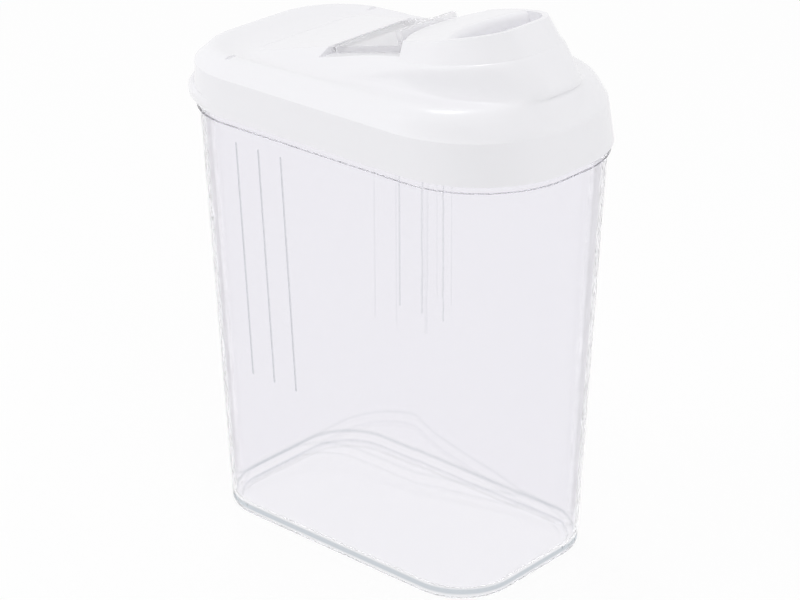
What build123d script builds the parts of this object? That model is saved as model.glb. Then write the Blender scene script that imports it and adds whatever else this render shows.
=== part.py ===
"""Cereal container with a flip spout: clear container, white lid, clear flap.

Millimetres. +Z is up, +X points from the thumb lip to the spout, Y is the short way across.
The origin is on the surface that the container stands on, under the middle of the whole.
"""
import os
from math import acos, degrees, hypot, sqrt

from build123d import *

# ---- driving dimensions: walls and fits ----
body_wall = 1.8
lid_wall = 1.8
lid_clearance = 0.35  # between the skirt and the container's neck, all round
flap_clearance = 0.35  # between the flap and the edges of its channel
pin_clearance = 0.05  # on the radius of the flap's hinge pins

# ---- container ----
foot_length = 152.9
foot_width = 90.6
foot_corner = 26.0
top_length = 181.7
top_width = 101.9
top_rear_corner = 37.5
top_front_corner = 44.0
shelf_height = 190.0  # top of the flange that the skirt rests on
floor_thickness = 2.2
foot_recess = 1.8  # how far the floor is held off the table
foot_ring_width = 4.0
foot_rounding = 2.5
floor_rounding = 2.5
flange_reach = 1.4
flange_thickness = 3.2
neck_rise = 10.0  # how far the neck stands up inside the skirt
rib_height = 0.4
rib_width = 0.8
rib_pitch = 12.8
rib_count = 3
rib_x = -32.8  # middle rib, from the middle of the body
rib_length = 107.0
rib_middle_height = 126.5
rib_lean = 1.9  # degrees

# ---- lid: skirt and shoulder ----
skirt_length = 186.0
skirt_width = 106.4
skirt_rear_corner = 39.5
skirt_front_corner = 46.0
skirt_height = 17.0
crease_length = 181.5
crease_width = 107.0
crease_rear_corner = 38.0
crease_front_corner = 49.0
lip_reach = 3.6  # how far the thumb lip stands out behind the skirt
lip_height = 6.6
lip_rounding = 2.8
shoulder_rise = 6.8  # of the shoulder above the crease, at the middle of the body
shoulder_slope = 0.027
shoulder_inset = 5.6
shoulder_shift = -0.5  # of the shoulder's outline along X
rounding_rise = 3.2  # of the outline between crease and shoulder
rounding_inset = 2.5

# ---- lid: sloping deck, hood and mouth ----
deck_slope = 0.2275
deck_rise = 18.8  # of the deck's plane above the crease, at the middle of the body
hood_step = 2.8  # how far the hood stands above the deck
deck_rear = -56.0
deck_foot = -57.0  # where the deck meets the plateau behind it
deck_half_width = 20.5
deck_waist_x = 14  # where the rim is narrowest, behind the hood
deck_corner = 6.0
hood_x = 32.0
hood_half_width = 28.0
hood_tip = 66.0
hood_tip_half_width = 8.0
channel_rear = -18.5
channel_depth = 2.9
hood_edge_x = 15.7  # rear edge of the hood on the centre line
hood_edge_side_x = 24.0
hood_edge_side_y = 24.5
mouth_rear_x = 38.5
mouth_rear_side_x = 47.0
mouth_wall = 2.5
mouth_depth = 5.4
mouth_rounding = 3.0
pour_rear = -11.0
pour_half_width = 20.0
throat_rise = 10.0  # of the chute's floor above the crease, at the gate
chute_tip_x = 58.0
chute_tip_rise = 26.0
chute_half_width = 20.5
chute_overlap = 0.3  # of the mouth's drop and the chute
ledge_width = 2.0  # of the ledge inside the mouth
ledge_rear = 1.5

# ---- lid: the crown's outlines, each with its rise, slope, rear end and corner ----
# waist, bulge and nose are (x, half width), from the middle of the body
collar_rise = 2.0  # above the shoulder
collar_slope = 0.04
collar_rear = -80.0
collar_corner = 28.0
collar_waist = (5, 43.5)
collar_bulge = (30, 41.0)
collar_nose = (84.0, 4.5)
flank_rise = 13.6  # above the crease
flank_slope = 0.135
flank_corner = 10.0
flank_waist = (10, 33.0)
flank_bulge = (34, 33.3)
flank_nose = (76.4, 6.0)
hood_foot_rise = 15.9  # of the hood's foot above the crease
hood_foot_slope = 0.15
hood_foot_setback = 0.5  # of its rear end from the deck's foot
hood_foot_corner = 9.0
hood_foot_waist = (12, 29.3)
hood_foot_bulge = (34, 31.7)
hood_foot_nose = (73.0, 6.7)

# ---- lid: the room inside it ----
room_shoulder_drop = 5.0  # below the shoulder
room_shoulder_inset = 4.0
room_top_inset = 4.5
room_top_drop = 1.0  # below the deck's wall
room_top_rear = -30.0
lip_narrowing = 0.6  # of the thumb lip's outline against the skirt's

# ---- lid: snap lugs for the hinge ----
lug_inside = 21.0
lug_outside = 23.5
lug_reach = 1.9
lug_rise = 0.95
lug_overlap = 0.5  # how far a lug sinks into the channel's wall and floor

# ---- flap ----
flap_half_width = 24.5
flap_thickness = 2.6
flap_skin = 1.5
flap_flange = 2.4
barrel_radius = 1.4
pin_radius = 1.0
pin_length = 2.0
axis_from_wall = 1.75
lug_slot = 1.4
rib_front_x = 15.0
rib_thickness = 2.8
rib_half_width = 17.0
rib_rise = 4.7
rib_rounding = 0.8
flap_corner = 2.0
gate_radius = 30.0
gate_wall = 1.5
gate_depth = 14.0
gate_gap = 0.6

# ---- cuts ----
far = 70.0  # well outside the lid
over = 1.0  # how far a cut stands out of what it cuts
deck_cut = 20.0  # height of what is cleared above the deck
room_cut = 40.0  # height of what is kept solid above the room inside

body_x = lip_reach / 2  # middle of the body: the lip makes the whole longer behind
stretch = hypot(1, deck_slope)  # length along the deck for each unit of X
crease_height = shelf_height + skirt_height
shoulder_height = crease_height + shoulder_rise
deck_height = crease_height + deck_rise
throat_floor = crease_height + throat_rise
chute_tip_height = crease_height + chute_tip_rise
foot = (foot_length, foot_width, foot_corner, foot_corner)
top = (top_length, top_width, top_rear_corner, top_front_corner)
skirt = (skirt_length, skirt_width, skirt_rear_corner, skirt_front_corner)
crease = (crease_length, crease_width, crease_rear_corner, crease_front_corner)


def between(low, high, share):
    """Sizes part of the way from one outline to another."""
    return tuple(a + (b - a) * share for a, b in zip(low, high))


def body_sizes(height):
    """The container's outer sizes at a height."""
    return between(foot, top, height / shelf_height)


def skirt_sizes(height):
    """The skirt's outer sizes at a height."""
    return between(skirt, crease, (height - shelf_height) / skirt_height)


def box_outline(height, sizes, inset=0.0, slope=0.0, x=0.0):
    """A rounded box outline whose rear corners differ from its front ones."""
    length, width, rear_corner, front_corner = sizes
    plane = Plane((body_x + x, 0, height), x_dir=(1, 0, slope), z_dir=(-slope, 0, 1))
    with BuildSketch(plane) as outline:
        Rectangle(length - 2 * inset, width - 2 * inset)
        fillet(outline.vertices().group_by(Axis.X)[0], rear_corner - inset)
        fillet(outline.vertices().group_by(Axis.X)[-1], front_corner - inset)
    return outline.sketch


def sloping_plane(height, slope):
    """A plane across the lid that climbs towards the spout."""
    return Plane((body_x, 0, height), x_dir=(1, 0, slope), z_dir=(-slope, 0, 1))


def crown_outline(height, slope, rear, corner, waist, bulge, nose, inset=0.0):
    """One outline of the crown: straight behind, and half an ellipse from the bulge to the nose."""
    run = hypot(1, slope)
    rear_x = (rear + inset) * run
    rear_side = waist[1] - inset
    bulge_x = bulge[0] * run
    bulge_side = bulge[1] - inset
    nose_x = (nose[0] - inset) * run
    with BuildLine() as outline:
        turn = JernArc((rear_x, rear_side - corner), (0, 1), corner, -90)
        Spline(turn @ 1, (waist[0] * run, rear_side), (bulge_x, bulge_side), tangents=((1, 0), (1, 0)))
        EllipticalCenterArc((bulge_x, nose[1]), nose_x - bulge_x, bulge_side - nose[1], 0, arc_size=90)
        mirror(about=Plane.XZ)
        Line((rear_x, corner - rear_side), (rear_x, rear_side - corner))
        Line((nose_x, nose[1]), (nose_x, -nose[1]))
    return sloping_plane(height, slope).location * Face(outline.wire())


def rim_outline(inset=0.0, drop=0.0, rear=deck_rear):
    """The crown's top outline, on the hood's plane or a drop below it."""
    return crown_outline(deck_height + hood_step - drop, deck_slope, rear, deck_corner,
                         (deck_waist_x, deck_half_width), (hood_x, hood_half_width),
                         (hood_tip, hood_tip_half_width), inset)


def crown_form():
    """Shoulder and crown: rounded up from the crease to the hood's foot, then straight to the rim."""
    hood_foot = crown_outline(crease_height + hood_foot_rise, hood_foot_slope,
                              deck_foot + hood_foot_setback, hood_foot_corner,
                              hood_foot_waist, hood_foot_bulge, hood_foot_nose)
    with BuildPart() as form:
        loft([box_outline(crease_height, crease),
              box_outline(crease_height + rounding_rise, crease, rounding_inset, shoulder_slope / 2),
              box_outline(shoulder_height, crease, shoulder_inset, shoulder_slope, shoulder_shift),
              crown_outline(shoulder_height + collar_rise, collar_slope, collar_rear, collar_corner,
                            collar_waist, collar_bulge, collar_nose),
              crown_outline(crease_height + flank_rise, flank_slope, deck_foot, flank_corner,
                            flank_waist, flank_bulge, flank_nose),
              hood_foot])
        loft([hood_foot, rim_outline()], ruled=True)
    return form.part


# ---------------------------------------------------------------- container
neck_top = shelf_height + neck_rise
fit_inset = lid_wall + lid_clearance
floor_top = foot_recess + floor_thickness
with BuildPart() as hollow:
    loft([box_outline(floor_top, body_sizes(floor_top), body_wall),
          box_outline(shelf_height, top, body_wall)], ruled=True)
    fillet(hollow.faces().sort_by(Axis.Z)[0].outer_wire().edges(), floor_rounding)

with BuildPart() as container:
    loft([box_outline(0, foot), box_outline(shelf_height, top)], ruled=True)
    flange_foot = shelf_height - flange_thickness
    extrude(box_outline(flange_foot, body_sizes(flange_foot), -flange_reach), flange_thickness)
    loft([box_outline(shelf_height, skirt, fit_inset),
          box_outline(neck_top, skirt_sizes(neck_top), fit_inset)], ruled=True)
    fillet(container.faces().sort_by(Axis.Z)[0].outer_wire().edges(), foot_rounding)
    add(hollow.part, mode=Mode.SUBTRACT)
    neck_inset = fit_inset + body_wall
    loft([box_outline(shelf_height, skirt, neck_inset),
          box_outline(neck_top, skirt_sizes(neck_top), neck_inset)], ruled=True, mode=Mode.SUBTRACT)
    extrude(box_outline(0, foot, foot_ring_width), foot_recess, mode=Mode.SUBTRACT)
    for side in (-1, 1):
        # fine ribs stand on the long walls, towards the rear
        half_width = body_sizes(rib_middle_height)[1] / 2
        wall_lean = (top_width - foot_width) / 2 / shelf_height
        rib_plane = Plane((body_x + rib_x, side * half_width, rib_middle_height),
                          x_dir=(side * -1, 0, 0), z_dir=(0, side, -wall_lean))
        with BuildSketch(rib_plane) as ribs:
            with GridLocations(rib_pitch, 1, rib_count, 1):
                SlotOverall(rib_length, rib_width, rotation=90 + side * -rib_lean)
        extrude(ribs.sketch, rib_height, both=True)
container.part.label = "container"

# ---------------------------------------------------------------- places shared by lid and flap
deck_plane = sloping_plane(deck_height, deck_slope)
rim_plane = sloping_plane(deck_height + hood_step, deck_slope)
channel_rear_u = channel_rear * stretch
axis_u = channel_rear_u + axis_from_wall
axis_point = deck_plane.from_local_coords((axis_u, 0, -barrel_radius))
side_plane = Plane(axis_point, x_dir=deck_plane.x_dir, z_dir=(0, -1, 0))
gate_outside = gate_radius + gate_wall


def hood_edge(back=0.0, side=hood_edge_side_y):
    """Three points of the hood's rear edge on the deck, set back by a gap."""
    middle = (hood_edge_x * stretch - back, 0)
    end_u = hood_edge_side_x * stretch - back
    return (end_u, -side), middle, (end_u, side)


# ---------------------------------------------------------------- lid: what is taken out of it
with BuildPart() as above_deck:
    # the deck lies a step below the hood, behind the hood's curved edge
    with BuildSketch(deck_plane) as behind_hood:
        with BuildLine():
            start, middle, end = hood_edge()
            ThreePointArc(start, middle, end)
            Line(end, (end[0], far))
            Line((end[0], far), (deck_foot * stretch, far))
            Line((deck_foot * stretch, far), (deck_foot * stretch, -far))
            Line((deck_foot * stretch, -far), (start[0], -far))
            Line((start[0], -far), start)
        make_face()
    extrude(behind_hood.sketch, deck_cut)

with BuildPart() as channel:
    # the flap's channel runs out through both sides of the crown
    with BuildSketch(deck_plane) as channel_floor:
        with BuildLine():
            start, middle, end = hood_edge()
            ThreePointArc(start, middle, end)
            Line(end, (end[0], far))
            Line((end[0], far), (channel_rear_u, far))
            Line((channel_rear_u, far), (channel_rear_u, -far))
            Line((channel_rear_u, -far), (start[0], -far))
            Line((start[0], -far), start)
        make_face()
    extrude(channel_floor.sketch, over)
    extrude(channel_floor.sketch, -channel_depth)

with BuildPart() as pour_hole:
    # the gate hangs through this hole, and the food passes it when the flap is up
    hole_front_u = axis_u + gate_outside + gate_gap
    with BuildSketch(deck_plane.offset(-channel_depth + over)) as hole:
        with Locations(((pour_rear * stretch + hole_front_u) / 2, 0)):
            Rectangle(hole_front_u - pour_rear * stretch, 2 * pour_half_width)
    extrude(hole.sketch, -(over + lid_wall + over))

roof_drop = (channel_depth + lid_wall) * stretch  # of the chute's roof below the deck, plumb
throat_x = axis_point.X - body_x + gate_outside + gate_gap


def deck_at(x):
    """Height of the deck's plane at a distance from the middle of the body."""
    return deck_height + deck_slope * x


with BuildPart() as chute:
    # from the throat behind the gate up to the mouth
    with BuildSketch(Plane((body_x, 0, 0), x_dir=(1, 0, 0), z_dir=(0, -1, 0))) as chute_side:
        Polygon((throat_x, throat_floor), (chute_tip_x, chute_tip_height),
                (chute_tip_x, deck_at(chute_tip_x) - roof_drop),
                (throat_x, deck_at(throat_x) - roof_drop), align=None)
    extrude(chute_side.sketch, chute_half_width, both=True)


def mouth_outline(plane, inset, setback=0.0):
    """The mouth: a curved rear edge, and a front that follows the rim at an inset."""
    nose_x = hood_x * stretch
    reach = hood_tip * stretch - inset - nose_x
    spread = hood_half_width - inset - hood_tip_half_width
    side_u = mouth_rear_side_x * stretch + setback
    side_v = hood_tip_half_width + spread * sqrt(1 - ((side_u - nose_x) / reach) ** 2)
    side_angle = degrees(acos((side_u - nose_x) / reach))
    with BuildSketch(plane) as mouth:
        with BuildLine():
            EllipticalCenterArc((nose_x, hood_tip_half_width), reach, spread, 0, arc_size=side_angle)
            EllipticalCenterArc((nose_x, -hood_tip_half_width), reach, spread, 0, arc_size=-side_angle)
            Line((nose_x + reach, -hood_tip_half_width), (nose_x + reach, hood_tip_half_width))
            ThreePointArc((side_u, -side_v), (mouth_rear_x * stretch + setback, 0), (side_u, side_v))
        make_face()
    return mouth.sketch


with BuildPart() as mouth:
    # wide upper part just inside the rim, and a narrower drop from it into the chute
    extrude(mouth_outline(rim_plane.offset(over), mouth_wall), -over - mouth_depth)
    chute_mouth = mouth_outline(rim_plane, mouth_wall + ledge_width, ledge_rear)
    extrude(chute_mouth, -(hood_step + chute_overlap) / stretch - channel_depth - lid_wall)
    with BuildSketch(rim_plane.offset(-mouth_depth)) as ledges:
        for side in (-1, 1):
            with Locations((0, side * (chute_half_width + far / 2))):
                Rectangle(4 * far, far)
    extrude(ledges.sketch, -far / 2, mode=Mode.SUBTRACT)

with BuildPart() as inside:
    # the room inside the lid, a wall's thickness in from its outside
    loft([box_outline(shelf_height, skirt, lid_wall),
          box_outline(crease_height, crease, lid_wall)], ruled=True)
    loft([box_outline(crease_height, crease, lid_wall),
          box_outline(shoulder_height - room_shoulder_drop, crease,
                      lid_wall + shoulder_inset + room_shoulder_inset),
          rim_outline(room_top_inset, hood_step + lid_wall * stretch + room_top_drop, room_top_rear)],
         ruled=True)
    # the deck's own wall
    with BuildSketch(deck_plane.offset(-lid_wall)) as over_deck:
        Rectangle(4 * far, 2 * far)
    extrude(over_deck.sketch, room_cut, mode=Mode.SUBTRACT)
    # the floor of the channel and the block of the hood
    with BuildSketch(deck_plane.offset(-channel_depth - lid_wall)) as under_channel:
        with Locations((channel_rear_u - lid_wall + far, 0)):
            Rectangle(2 * far, 2 * far)
    extrude(under_channel.sketch, room_cut, mode=Mode.SUBTRACT)
    # the chute's floor and sides
    with BuildSketch(Plane((body_x, 0, 0), x_dir=(1, 0, 0), z_dir=(0, -1, 0))) as chute_block:
        Polygon((throat_x, throat_floor - lid_wall),
                (chute_tip_x + lid_wall, chute_tip_height - lid_wall),
                (far, chute_tip_height + far), (throat_x, chute_tip_height + far), align=None)
    extrude(chute_block.sketch, chute_half_width + lid_wall, both=True, mode=Mode.SUBTRACT)

# ---------------------------------------------------------------- lid
with BuildPart() as lip:
    # the skirt's own outline set back by the lip's reach, so that it fades out round the corners
    lip_sizes = (skirt_length, skirt_width - lip_narrowing, skirt_rear_corner, skirt_front_corner)
    extrude(box_outline(shelf_height, lip_sizes, x=-lip_reach), lip_height)
    fillet(lip.faces().sort_by(Axis.Z)[0].outer_wire().edges(), lip_rounding)
    fillet(lip.faces().sort_by(Axis.Z)[-1].outer_wire().edges(), lip_rounding)
    with BuildSketch(Plane.XY.offset(shelf_height)) as rear_half:
        with Locations((-far, 0)):
            Rectangle(2 * far, 2 * far)
    extrude(rear_half.sketch, lip_height, mode=Mode.INTERSECT)

with BuildPart() as lid:
    loft([box_outline(shelf_height, skirt), box_outline(crease_height, crease)], ruled=True)
    add(crown_form())
    add(lip.part)
    add(above_deck.part, mode=Mode.SUBTRACT)
    add(inside.part, mode=Mode.SUBTRACT)
    add(channel.part, mode=Mode.SUBTRACT)
    add(pour_hole.part, mode=Mode.SUBTRACT)
    add(chute.part, mode=Mode.SUBTRACT)
    add(mouth.part, mode=Mode.SUBTRACT)
    # snap lugs for the flap's hinge pins, open at the top
    with BuildSketch(side_plane) as lug:
        with BuildLine():
            lug_rear = -axis_from_wall - lug_overlap
            lug_foot = barrel_radius - channel_depth - lug_overlap
            Polyline((lug_rear, lug_rise), (lug_reach, lug_rise), (lug_reach, lug_foot),
                     (lug_rear, lug_foot), close=True)
        make_face()
        Circle(pin_radius + pin_clearance, mode=Mode.SUBTRACT)
        with Locations((0, pin_radius)):
            Rectangle(lug_slot, 2 * pin_radius, mode=Mode.SUBTRACT)
    for side in (-1, 1):
        extrude(lug.sketch.moved(Location((0, side * (lug_inside + lug_outside) / 2, 0))),
                (lug_outside - lug_inside) / 2, both=True)
    # the bridge behind the mouth rolls over into it
    rear_edge = rim_plane.from_local_coords((mouth_rear_x * stretch, 0, 0))
    fillet(lid.edges().filter_by(GeomType.CIRCLE).sort_by_distance(rear_edge)[0], mouth_rounding)
lid.part.label = "lid"

# ---------------------------------------------------------------- flap
with BuildPart() as finger_rib:
    rib_front_u = rib_front_x * stretch
    with BuildSketch(deck_plane.offset(-flap_skin / 2)) as rib_foot:
        with Locations((rib_front_u - rib_thickness / 2, 0)):
            Rectangle(rib_thickness, 2 * rib_half_width)
    extrude(rib_foot.sketch, rib_rise + flap_skin / 2)
    fillet(finger_rib.faces().sort_by(Axis.Z)[-1].edges(), rib_rounding)

with BuildPart() as flap:
    rear_u = axis_u + lug_reach + flap_clearance
    start, middle, end = hood_edge(flap_clearance)
    with BuildSketch(deck_plane) as plate:
        with BuildLine():
            ThreePointArc((start[0], -flap_half_width), middle, (end[0], flap_half_width))
            Line((end[0], flap_half_width), (rear_u, flap_half_width))
            Line((rear_u, flap_half_width), (rear_u, -flap_half_width))
            Line((rear_u, -flap_half_width), (start[0], -flap_half_width))
        make_face()
        fillet(plate.vertices().group_by(Axis.X)[-1], flap_corner)
        barrel_half = lug_inside - flap_clearance
        with Locations(((axis_u + rear_u) / 2, 0)):
            Rectangle(rear_u - axis_u, 2 * barrel_half)
    extrude(plate.sketch, -flap_thickness)
    # a skin with a flange all round, open underneath
    with BuildSketch(deck_plane.offset(-flap_skin)) as under_skin:
        with BuildLine():
            inner_y = flap_half_width - flap_flange
            inner_rear = rear_u + flap_flange
            ThreePointArc((start[0] - flap_flange, -inner_y), (middle[0] - flap_flange, 0),
                          (end[0] - flap_flange, inner_y))
            Line((end[0] - flap_flange, inner_y), (inner_rear, inner_y))
            Line((inner_rear, inner_y), (inner_rear, -inner_y))
            Line((inner_rear, -inner_y), (start[0] - flap_flange, -inner_y))
        make_face()
    extrude(under_skin.sketch, -flap_thickness, mode=Mode.SUBTRACT)
    # hinge barrel and its pins
    with BuildSketch(side_plane) as barrel:
        Circle(barrel_radius)
    extrude(barrel.sketch, barrel_half, both=True)
    with BuildSketch(side_plane) as pins:
        Circle(pin_radius)
    extrude(pins.sketch, barrel_half + pin_length + flap_clearance, both=True)
    add(finger_rib.part)
    # gate that shuts the chute's throat
    with BuildSketch(side_plane) as gate:
        Circle(gate_outside)
        Circle(gate_radius, mode=Mode.SUBTRACT)
        with Locations((gate_radius, barrel_radius - flap_skin / 2 - gate_depth / 2)):
            Rectangle(gate_radius, gate_depth, mode=Mode.INTERSECT)
    extrude(gate.sketch, pour_half_width - gate_gap, both=True)
flap.part.label = "flap"

# ---------------------------------------------------------------- write
os.makedirs("parts", exist_ok=True)
export_step(container.part, "parts/container.step")
export_step(lid.part, "parts/lid.step")
export_step(flap.part, "parts/flap.step")
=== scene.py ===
# %% [markdown]
# # A clear cereal container with a white lid and a clear flap
# Three moulded pieces come in at their real size and place: a clear container, a white lid that
# lifts off it, and a clear flap in the lid. Nothing is left to model, so this lesson is about
# finish, light and camera.

# %% Load the model
from math import cos, radians, sin

import bpy
from mathutils import Matrix, Vector

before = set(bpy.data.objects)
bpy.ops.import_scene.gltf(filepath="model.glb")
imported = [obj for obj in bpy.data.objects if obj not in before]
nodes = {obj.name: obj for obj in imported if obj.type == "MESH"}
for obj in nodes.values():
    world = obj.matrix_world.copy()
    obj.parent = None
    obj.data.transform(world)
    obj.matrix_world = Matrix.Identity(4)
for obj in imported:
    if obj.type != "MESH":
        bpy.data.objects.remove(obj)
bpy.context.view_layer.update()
print("pieces:", sorted(nodes))

# %% [markdown]
# Every finish below is built from a few kinds of node. They could be added and linked one by one,
# but small helpers say in one line what each node is for.

# %% Helpers for shader nodes
def give(tree, socket, value):
    """Sets a socket to a plain value, or links another node's output to it."""
    if isinstance(value, bpy.types.NodeSocket):
        tree.links.new(value, socket)
    else:
        socket.default_value = value


def calculate(tree, operation, *values):
    """The result of a Math node."""
    node = tree.nodes.new("ShaderNodeMath")
    node.operation = operation
    for socket, value in zip(node.inputs, values):
        give(tree, socket, value)
    return node.outputs[0]


def remap(tree, value, low, high, least=0.0):
    """A value that runs from least to one between two ends, and stays there outside them."""
    node = tree.nodes.new("ShaderNodeMapRange")
    node.inputs["From Min"].default_value = low
    node.inputs["From Max"].default_value = high
    node.inputs["To Min"].default_value = least
    tree.links.new(value, node.inputs["Value"])
    return node.outputs["Result"]


def mix(tree, kind, share, first, second):
    """A blend of two colours (RGBA) or numbers (FLOAT) by a share."""
    node = tree.nodes.new("ShaderNodeMix")
    node.data_type = kind
    tree.links.new(share, node.inputs["Factor"])
    give(tree, node.inputs["A"], first)
    give(tree, node.inputs["B"], second)
    return node.outputs["Result"]


def feeding(socket):
    """What a socket gets: the output that is linked to it, or else its plain value."""
    return socket.links[0].from_socket if socket.is_linked else socket.default_value


print("helpers:", give.__name__, calculate.__name__, remap.__name__, mix.__name__, feeding.__name__)

# %% [markdown]
# Moulded plastic is never quite even: it has a slow drift of tone, a faint ripple from the mould
# and a few fine scuffs. A painted picture could give them, but noise on Object coordinates stays
# with the piece as it moves, and one node group serves every plastic here with its own values.

# %% A node group for moulded plastic
broad_scale = 18.0
broad_detail = 2.0
scuff_scale = 260.0
scuff_detail = 4.0
ripple_height = 0.0004


def add_noise(group, place, scale, detail):
    """Noise on the piece's own coordinates, as a value from nought to one."""
    noise = group.nodes.new("ShaderNodeTexNoise")
    noise.inputs["Scale"].default_value = scale
    noise.inputs["Detail"].default_value = detail
    group.links.new(place.outputs["Object"], noise.inputs["Vector"])
    return noise.outputs["Fac"]


def build_moulded_plastic():
    """Tone, roughness and ripple of a moulded surface, as a colour, a value and a normal."""
    group = bpy.data.node_groups.new("moulded plastic", "ShaderNodeTree")
    for name, kind in (("Color", "NodeSocketColor"), ("Tone change", "NodeSocketFloat"),
                       ("Roughness", "NodeSocketFloat"), ("Scuff", "NodeSocketFloat"),
                       ("Ripple", "NodeSocketFloat")):
        group.interface.new_socket(name=name, in_out="INPUT", socket_type=kind)
    for name, kind in (("Color", "NodeSocketColor"), ("Roughness", "NodeSocketFloat"),
                       ("Normal", "NodeSocketVector")):
        group.interface.new_socket(name=name, in_out="OUTPUT", socket_type=kind)
    given = group.nodes.new("NodeGroupInput")
    result = group.nodes.new("NodeGroupOutput")
    place = group.nodes.new("ShaderNodeTexCoord")
    broad = add_noise(group, place, broad_scale, broad_detail)
    scuffs = add_noise(group, place, scuff_scale, scuff_detail)

    tone = calculate(group, "MULTIPLY_ADD", broad, given.outputs["Tone change"], 1.0)
    shade = group.nodes.new("ShaderNodeVectorMath")
    shade.operation = "SCALE"
    group.links.new(given.outputs["Color"], shade.inputs[0])
    group.links.new(tone, shade.inputs["Scale"])
    group.links.new(shade.outputs[0], result.inputs["Color"])

    dull = calculate(group, "MULTIPLY_ADD", scuffs, given.outputs["Scuff"], given.outputs["Roughness"])
    group.links.new(dull, result.inputs["Roughness"])

    ripple = group.nodes.new("ShaderNodeBump")
    ripple.inputs["Distance"].default_value = ripple_height
    group.links.new(broad, ripple.inputs["Height"])
    group.links.new(given.outputs["Ripple"], ripple.inputs["Strength"])
    group.links.new(ripple.outputs["Normal"], result.inputs["Normal"])
    return group


moulded_plastic = build_moulded_plastic()
print("group:", moulded_plastic.name, "with", len(moulded_plastic.nodes), "nodes")

# %% [markdown]
# The container and the flap are clear, the lid is not. Glass alone shows hard dark lines in thin
# walls, where light runs trapped inside them. So a clear plastic here is part glass, part plainly
# see-through, and its index is kept low. Layer Weight gives a little more body at the outline.

# %% One plastic, and how a piece wears it
edge_blend = 0.35
edge_body = 0.12


def plastic(name, color, roughness, scuff, ripple, tone_change=0.0, clear=0.0, index=1.49):
    """A Principled plastic: clear is how much of it is glass, index how strongly it bends light."""
    material = bpy.data.materials.new(name)
    material.use_nodes = True
    tree = material.node_tree
    shader = tree.nodes["Principled BSDF"]
    surface = tree.nodes.new("ShaderNodeGroup")
    surface.node_tree = moulded_plastic
    shader.inputs["Base Color"].default_value = (*color, 1.0)
    if tone_change:
        surface.inputs["Color"].default_value = (*color, 1.0)
        surface.inputs["Tone change"].default_value = tone_change
        tree.links.new(surface.outputs["Color"], shader.inputs["Base Color"])
    surface.inputs["Roughness"].default_value = roughness
    surface.inputs["Scuff"].default_value = scuff
    surface.inputs["Ripple"].default_value = ripple
    tree.links.new(surface.outputs["Roughness"], shader.inputs["Roughness"])
    tree.links.new(surface.outputs["Normal"], shader.inputs["Normal"])
    shader.inputs["IOR"].default_value = index
    shader.inputs["Transmission Weight"].default_value = clear
    return material


def see_through(material, body):
    """Lets part of the light pass straight on: body is how much of the surface shows face on."""
    tree = material.node_tree
    edge = tree.nodes.new("ShaderNodeLayerWeight")
    edge.inputs["Blend"].default_value = edge_blend
    show = calculate(tree, "MULTIPLY_ADD", edge.outputs["Facing"], edge_body, body)
    show.node.use_clamp = True
    tree.links.new(show, tree.nodes["Principled BSDF"].inputs["Alpha"])


def dress(node_name, material):
    """Gives a piece its finish in every slot."""
    mesh = nodes[node_name].data
    if not mesh.materials:
        mesh.materials.append(material)
    for index in range(len(mesh.materials)):
        mesh.materials[index] = material
    print(node_name, "wears", material.name)


# %% [markdown]
# The container is clear with a hint of grey and lilac. Its tint is a plain colour on the shader's
# own socket, because it is the same all over the walls.

# %% Clear container
clear_tub = plastic("clear tub plastic", (0.895, 0.887, 0.921), roughness=0.02, scuff=0.02, ripple=0.1,
                    clear=1.0, index=1.1)
see_through(clear_tub, body=0.72)
print("made", clear_tub.name)

# %% [markdown]
# The foot is the thickest part of the container, and its rounding gathers the grey of the room into
# a band, with a pale strip and a thin line of contact shadow below it. These are painted light: a ramp
# over the height paints the grey band as a painted reflection and the line as a painted shadow into
# the colour of the upright faces only. They count where light enters the plastic, so the far side of
# the foot, which is seen from inside, stays faint. Faces that lie flat, such as the floor of the
# container, get a lighter tint than the walls.

# %% The painted grey band round the foot
# heights above the ground in metres, and how much of the painted grey (reflection band and contact
# shadow) shows there
painted_foot_bands = ((0.0, 0.7), (0.0008, 0.7), (0.0012, 0.3), (0.0024, 0.3),
              (0.0034, 1.0), (0.005, 1.0), (0.0064, 0.0))
# the grey of the painted reflection band and painted contact shadow at the foot
foot_reflection_and_shadow_grey = (0.13, 0.18, 0.23, 1.0)
foot_body = 0.58
foot_fade = 0.0015  # how far above the bands the foot's body ends
floor_tone = (0.93, 0.925, 0.948, 1.0)
lying, upright = 0.8, 0.5  # upward share of a face's normal that counts as lying, and as upright
seen_from_inside = 0.2


def band_ramp(tree, height, bands):
    """A value that follows the bands over the height."""
    top = bands[-1][0]
    node = tree.nodes.new("ShaderNodeValToRGB")
    tree.links.new(remap(tree, height, 0.0, top), node.inputs["Fac"])
    stops = node.color_ramp.elements
    while len(stops) < len(bands):
        stops.new(1.0)
    for stop, (rise, share) in zip(stops, bands):
        stop.position = rise / top
        stop.color = (share, share, share, 1.0)
    return node.outputs["Color"]


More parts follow.
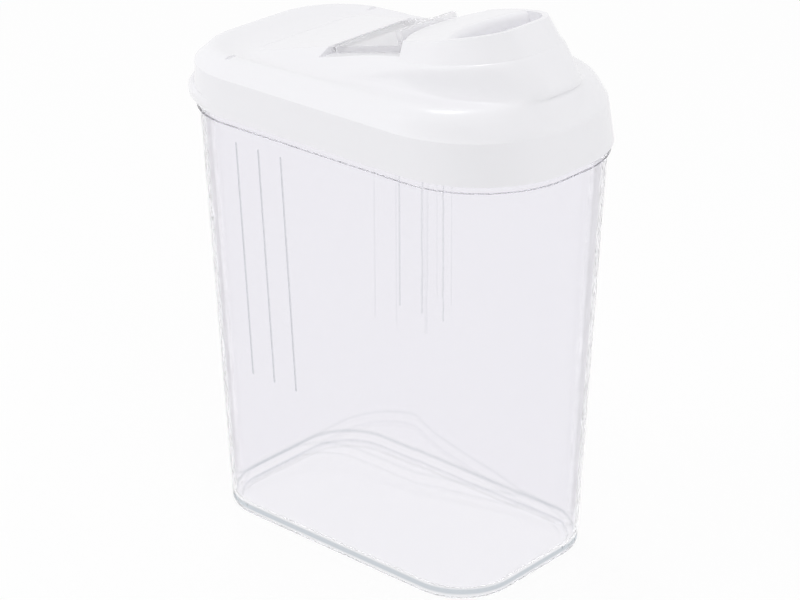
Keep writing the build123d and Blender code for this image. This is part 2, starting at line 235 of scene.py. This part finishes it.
def paint_foot_reflection_and_shadow(material):
    """Painted grey bands round the foot of a clear container, a painted reflection with a painted
    contact shadow below it, and a lighter tint on lying faces.
    """
    tree = material.node_tree
    shader = tree.nodes["Principled BSDF"]
    place = tree.nodes.new("ShaderNodeTexCoord")
    axes = tree.nodes.new("ShaderNodeSeparateXYZ")
    tree.links.new(place.outputs["Object"], axes.inputs[0])
    facing = tree.nodes.new("ShaderNodeSeparateXYZ")
    tree.links.new(place.outputs["Normal"], facing.inputs[0])
    walls = remap(tree, calculate(tree, "ABSOLUTE", facing.outputs["Z"]), lying, upright)
    bands = calculate(tree, "MULTIPLY", band_ramp(tree, axes.outputs["Z"], painted_foot_bands), walls)
    geometry = tree.nodes.new("ShaderNodeNewGeometry")
    entering = remap(tree, geometry.outputs["Backfacing"], 1.0, 0.0, seen_from_inside)
    share = calculate(tree, "MULTIPLY", bands, entering)
    tone = mix(tree, "RGBA", walls, floor_tone, feeding(shader.inputs["Base Color"]))
    # lays the painted reflection and contact shadow grey into the foot's colour
    tint = mix(tree, "RGBA", share, tone, foot_reflection_and_shadow_grey)
    tree.links.new(tint, shader.inputs["Base Color"])
    top = painted_foot_bands[-1][0]
    below = remap(tree, axes.outputs["Z"], top + foot_fade, top)
    dense = mix(tree, "FLOAT", below, feeding(shader.inputs["Alpha"]), foot_body)
    tree.links.new(dense, shader.inputs["Alpha"])


paint_foot_reflection_and_shadow(clear_tub)
print("foot bands:", len(painted_foot_bands), "stops up to", painted_foot_bands[-1][0], "m")

# %% [markdown]
# Three fine ribs stand on each long wall. They are less than a millimetre wide, so at this distance
# they show as thin grey lines, where the clear plastic bends the light away, and that grey is painted
# shade here. They could be shaded by hand, but a test on Object coordinates picks just what stands out
# of the wall's plane.

# %% The fine ribs, with painted shade
half_foot_width = 0.0453
wall_lean = 0.02974  # how far the long walls lean out for each metre of height
rib_stand = 0.0002  # how far out of the wall the tint begins
rib_middle_x, rib_spread = -0.031, 0.018
rib_low, rib_high = 0.07, 0.183
# painted shade: the grey that the clear ribs show where they bend the light
rib_painted_shade_grey = (0.5, 0.52, 0.55, 1.0)


def paint_rib_shade(material):
    """Painted shade: a grey tint on what stands out of the long walls where the ribs are."""
    tree = material.node_tree
    shader = tree.nodes["Principled BSDF"]
    place = tree.nodes.new("ShaderNodeTexCoord")
    axes = tree.nodes.new("ShaderNodeSeparateXYZ")
    tree.links.new(place.outputs["Object"], axes.inputs[0])
    height = axes.outputs["Z"]
    wall = calculate(tree, "MULTIPLY_ADD", height, wall_lean, half_foot_width + rib_stand)
    stands_out = calculate(tree, "GREATER_THAN", calculate(tree, "ABSOLUTE", axes.outputs["Y"]), wall)
    near_ribs = calculate(tree, "COMPARE", axes.outputs["X"], rib_middle_x, rib_spread)
    rib_middle_z = (rib_low + rib_high) / 2
    beside_ribs = calculate(tree, "COMPARE", height, rib_middle_z, rib_high - rib_middle_z)
    on_rib = calculate(tree, "MULTIPLY", calculate(tree, "MULTIPLY", stands_out, near_ribs), beside_ribs)
    # paints the shade of the ribs into the container's colour
    tint = mix(tree, "RGBA", on_rib, feeding(shader.inputs["Base Color"]), rib_painted_shade_grey)
    tree.links.new(tint, shader.inputs["Base Color"])


paint_rib_shade(clear_tub)
dress("container", clear_tub)

# %% [markdown]
# The lid is opaque white with a satin gloss: light spreads softly over it, and one small lamp makes
# a highlight. It has a faint drift of tone, because flat white looks like paper.

# %% White lid
white_lid = plastic("white satin plastic", (0.85, 0.846, 0.872), roughness=0.22, scuff=0.06, ripple=0.05,
                    tone_change=0.01)
dress("lid", white_lid)

# %% [markdown]
# The flap is clear too, but it looks milky among its white surroundings, so less of it is glass and
# the rest is plain pale plastic.

# %% Clear flap
clear_flap = plastic("clear flap plastic", (0.95, 0.945, 0.965), roughness=0.2, scuff=0.03, ripple=0.1,
                     clear=0.45, index=1.2)
see_through(clear_flap, body=0.5)
dress("flap", clear_flap)

# %% [markdown]
# The photograph has a bare white background. A bright world would do, but then the white lid would
# vanish in it. So floor and world are white only where the camera, a reflection or the clear
# plastic sees them, and light the object at a lower level otherwise. Light Path tells these rays
# apart, and the floor keeps a little of its own surface, which holds a faint shadow.

# %% Floor
floor_size = 6.0
floor_drop = 0.0004  # keeps the floor just clear of the container's foot
floor_glow = 0.93


def seen_directly(tree, camera_share=1.0):
    """A share where the camera looks, one where a reflection or clear plastic does, else nought."""
    path = tree.nodes.new("ShaderNodeLightPath")
    total = calculate(tree, "MULTIPLY", path.outputs["Is Camera Ray"], camera_share)
    for ray in ("Is Glossy Ray", "Is Transmission Ray"):
        total = calculate(tree, "MAXIMUM", total, path.outputs[ray])
    return total


bpy.ops.object.select_all(action="DESELECT")
bpy.ops.mesh.primitive_plane_add(size=floor_size, location=(0.0, 0.0, -floor_drop))
floor = bpy.context.object
floor.name = "floor"
pale = bpy.data.materials.new("pale floor")
pale.use_nodes = True
tree = pale.node_tree
paint = tree.nodes["Principled BSDF"]
paint.inputs["Base Color"].default_value = (0.9, 0.9, 0.9, 1.0)
paint.inputs["Roughness"].default_value = 0.9
glow = tree.nodes.new("ShaderNodeEmission")
glow.inputs["Color"].default_value = (1.0, 1.0, 1.0, 1.0)
blend = tree.nodes.new("ShaderNodeMixShader")
tree.links.new(seen_directly(tree, floor_glow), blend.inputs["Fac"])
tree.links.new(paint.outputs["BSDF"], blend.inputs[1])
tree.links.new(glow.outputs["Emission"], blend.inputs[2])
tree.links.new(blend.outputs["Shader"], tree.nodes["Material Output"].inputs["Surface"])
floor.data.materials.append(pale)
print("floor:", floor_size, "m wide")

# %% [markdown]
# The world is the same white. Its plain level is what fills the shadows, and it is kept low enough
# that the lid doesn't clip.

# %% World
ambient = 0.64
world = bpy.data.worlds.new("white studio")
bpy.context.scene.world = world
world.use_nodes = True
tree = world.node_tree
background = tree.nodes["Background"]
background.inputs["Color"].default_value = (1.0, 1.0, 1.0, 1.0)
strength = calculate(tree, "MULTIPLY_ADD", seen_directly(tree), 1.0 - ambient, ambient)
tree.links.new(strength, background.inputs["Strength"])
print("world:", world.name, "at", ambient)

# %% [markdown]
# Three broad soft boxes model the white lid: one to the left and above for the near side, a weak
# one to the right, and one in front. They are hidden from reflections, because their squares would
# show in the clear walls. A small lamp, which is mirrored, makes the highlight on the lid.

# %% Lamps
def soft_box(name, place, target, size, watts, mirrored=False):
    """A square area lamp that faces a target, and shows in reflections only where asked."""
    data = bpy.data.lights.new(name, "AREA")
    data.size = size
    data.energy = watts
    lamp = bpy.data.objects.new(name, data)
    bpy.context.collection.objects.link(lamp)
    lamp.visible_glossy = mirrored
    lamp.visible_transmission = mirrored
    turned = (Vector(target) - Vector(place)).to_track_quat("-Z", "Y").to_matrix().to_4x4()
    lamp.matrix_world = Matrix.Translation(place) @ turned
    print(name, "at", place, "with", watts, "W")


middle = (0.0, 0.0, 0.2)
shoulder_spot = (0.064, -0.04, 0.217)
soft_box("left soft box", place=(-0.95, -0.95, 0.75), target=middle, size=0.7, watts=5.6)
soft_box("right soft box", place=(0.95, 0.95, 0.7), target=middle, size=0.7, watts=2.2)
soft_box("front soft box", place=(0.85, -0.45, 1.2), target=middle, size=0.8, watts=4.5)
soft_box("small bright lamp", place=(-0.43, 0.22, 1.28), target=shoulder_spot, size=0.08, watts=1.3,
         mirrored=True)

# %% [markdown]
# The camera was solved from the edges of the container, the lid and the flap: its turn, its tilt,
# its distance and its lens. It could be placed by eye, but a solved one lets the render be laid
# over the photograph.

# %% Camera
turn = radians(41.67)
tilt = radians(24.32)
distance = 1.1543
aim = Vector((-0.00997, 0.01145, 0.09764))
focal_pixels = 2647.9
image_width = 800
sensor_width = 36.0
back = Vector((sin(turn) * cos(tilt), -cos(turn) * cos(tilt), sin(tilt)))
right = Vector((cos(turn), sin(turn), 0.0))
up = back.cross(right)
camera_data = bpy.data.cameras.new("camera")
camera_data.sensor_width = sensor_width
camera_data.lens = focal_pixels / image_width * sensor_width
camera = bpy.data.objects.new("camera", camera_data)
bpy.context.collection.objects.link(camera)
turned = Matrix((right, up, back)).transposed().to_4x4()
camera.matrix_world = Matrix.Translation(aim + back * distance) @ turned
bpy.context.scene.camera = camera
bpy.context.scene.view_settings.view_transform = "Standard"
print("camera at", [round(value, 3) for value in camera.matrix_world.translation])
